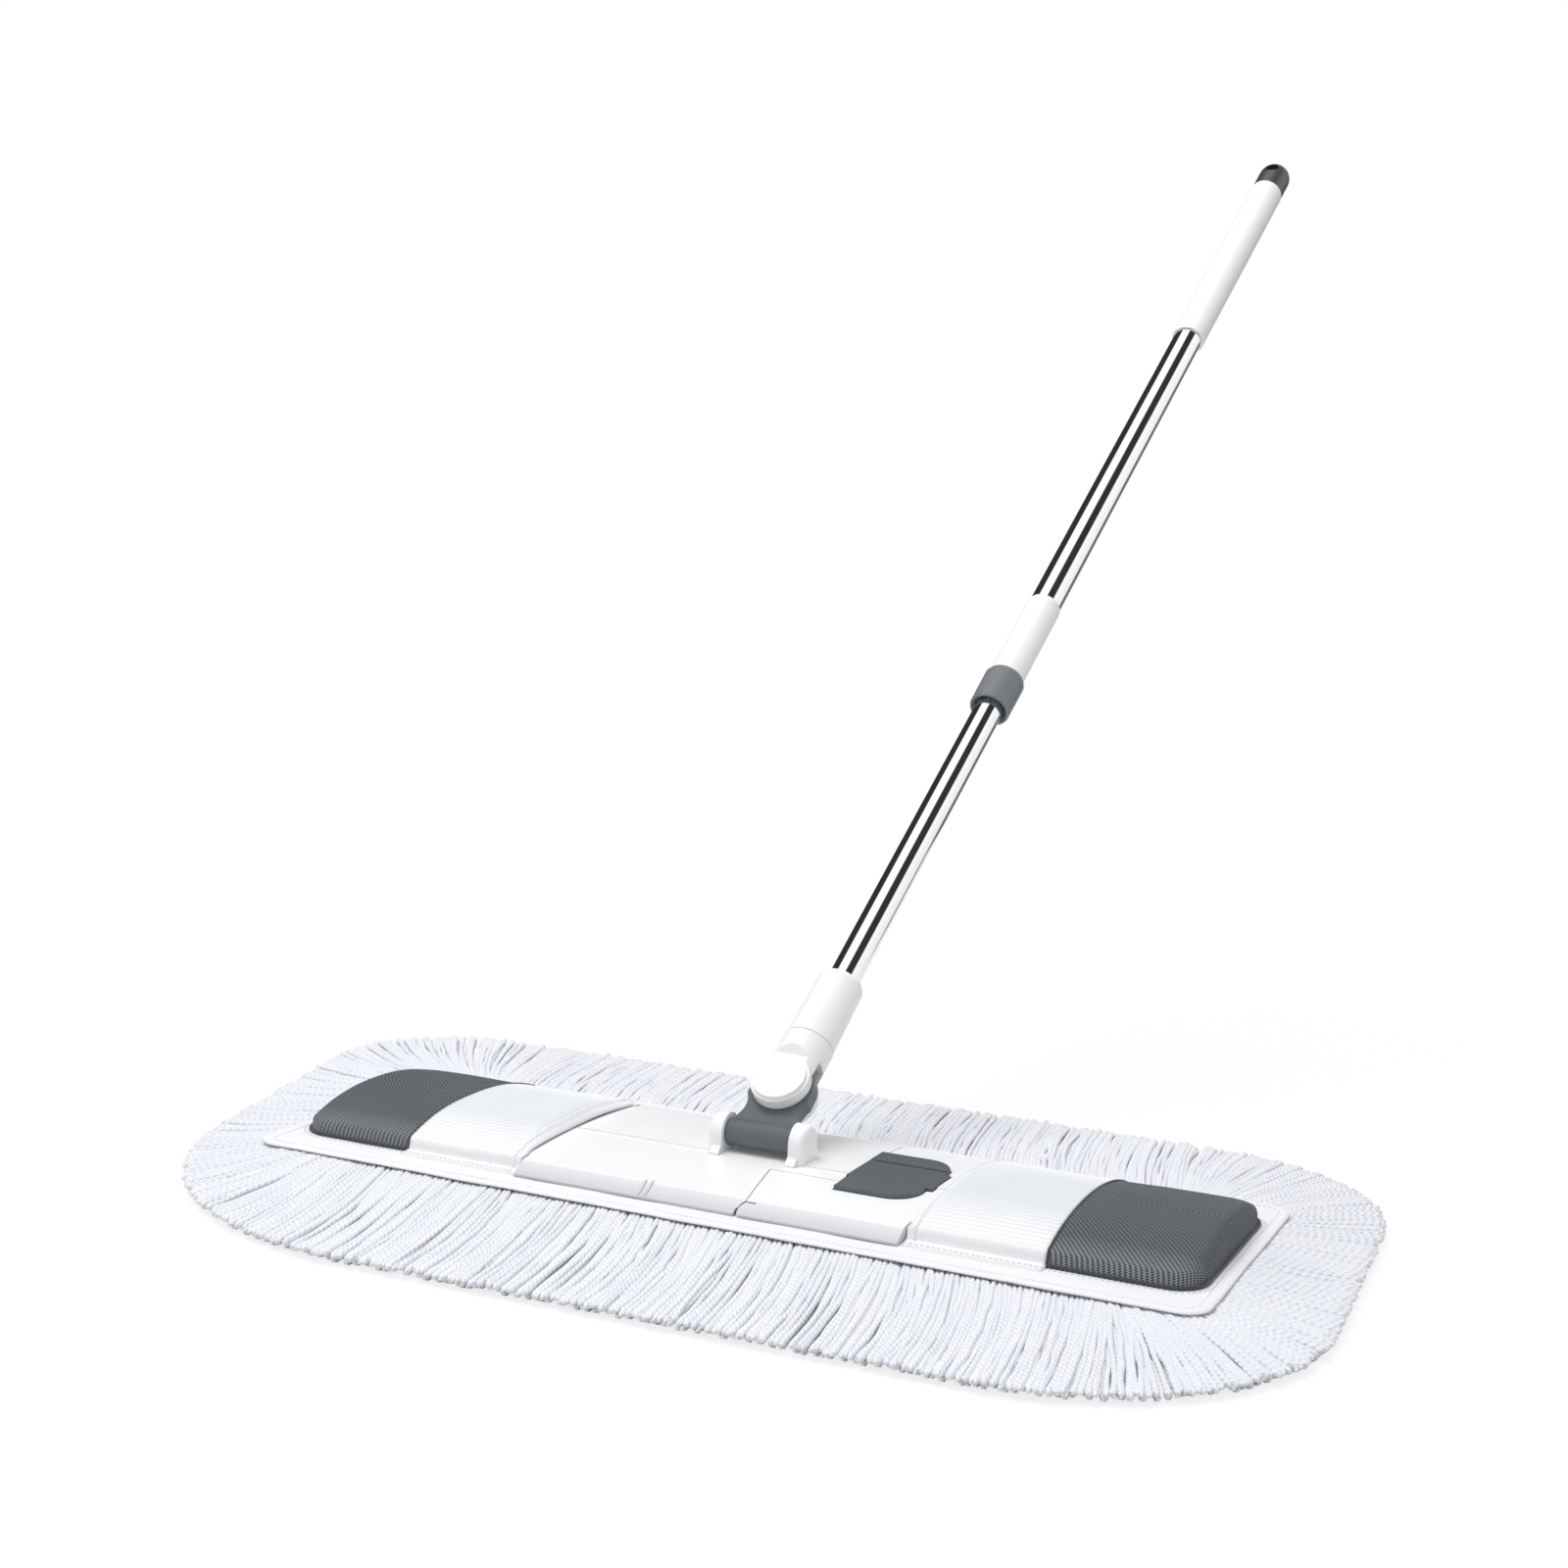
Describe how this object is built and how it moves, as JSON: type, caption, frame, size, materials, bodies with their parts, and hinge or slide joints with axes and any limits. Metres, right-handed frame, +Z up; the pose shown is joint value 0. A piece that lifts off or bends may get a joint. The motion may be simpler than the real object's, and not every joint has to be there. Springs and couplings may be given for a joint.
{
  "type": "flat mop",
  "caption": "Flat pocket mop with a folding frame, cut-yarn mop head, foot latch, two-way tilting joint and telescopic twist-lock pole.",
  "frame": {"origin": "on the floor, under the middle of the mop head's sole", "axes": "+X along the mop head towards the foot latch, +Y to the back, where the pole leans, +Z up"},
  "size_m": [0.7099, 1.0648, 0.6915],
  "materials": {
    "white_plastic": "satin moulded polypropylene",
    "grey_plastic": "satin moulded nylon",
    "pin_steel": "plain wire",
    "tube_steel": "polished stainless tube",
    "backing_cloth": "woven polyester cotton",
    "yarn": "twisted cut-end cotton yarn",
    "pocket_cloth": "ribbed woven cloth",
    "pocket_mesh": "knitted drainage mesh"
  },
  "bodies": {
    "mop_left": {"frame_left": "white_plastic", "fold_pin": "pin_steel", "knuckle_pin": "pin_steel", "cloth_left": "backing_cloth", "cloth_mid": "backing_cloth", "fringe_left": "yarn", "fringe_mid": "yarn", "pocket_panel_left": "pocket_cloth", "pocket_mesh_left": "pocket_mesh", "pocket_hem_left": "pocket_cloth"},
    "mop_right": {"frame_right": "white_plastic", "latch_pin": "pin_steel", "latch_spring": "pin_steel", "cloth_right": "backing_cloth", "fringe_right": "yarn", "pocket_panel_right": "pocket_cloth", "pocket_mesh_right": "pocket_mesh", "pocket_hem_right": "pocket_cloth"},
    "latch": {"latch_pedal": "grey_plastic"},
    "knuckle": {"knuckle": "grey_plastic"},
    "elbow": {"elbow_fork": "white_plastic", "elbow_pin": "pin_steel", "elbow_cap_top": "white_plastic", "elbow_cap_bottom": "white_plastic", "pole_socket": "white_plastic", "lower_tube": "tube_steel", "guide_bush": "grey_plastic"},
    "pole_upper": {"clamp_collet": "grey_plastic", "lock_sleeve": "white_plastic", "upper_tube": "tube_steel", "grip": "white_plastic", "hang_cap": "grey_plastic"},
    "collar": {"lock_collar": "grey_plastic"}
  },
  "joints": [
    {"name": "frame_fold", "type": "hinge", "parent": "mop_left", "child": "mop_right", "pos_m": [0.025, 0, 0.015], "axis": [0, 1, 0], "range_deg": [0, 100], "deforming": ["cloth_mid", "fringe_mid"]},
    {"name": "latch_press", "type": "hinge", "parent": "mop_right", "child": "latch", "pos_m": [0.08374, 0, 0.0193], "axis": [0, 1, 0], "range_deg": [0, 6], "stiffness_Nm_per_rad": 0.6, "springref_deg": -5.73},
    {"name": "knuckle_tilt", "type": "hinge", "parent": "mop_left", "child": "knuckle", "pos_m": [0, 0, 0.033], "axis": [1, 0, 0], "range_deg": [-22, 127]},
    {"name": "elbow_swing", "type": "hinge", "parent": "knuckle", "child": "elbow", "pos_m": [0, 0.02611, 0.05318], "axis": [0, -0.6115, 0.7912], "range_deg": [-82, 88]},
    {"name": "telescope_slide", "type": "slide", "parent": "elbow", "child": "pole_upper", "axis": [0.0523, 0.7901, 0.6107], "range_m": [-0.235, 0.25]},
    {"name": "collar_twist", "type": "hinge", "parent": "pole_upper", "child": "collar", "pos_m": [0.01806, 0.29871, 0.26387], "axis": [0.0523, 0.7901, 0.6107], "range_deg": [0, 90]}
  ]
}
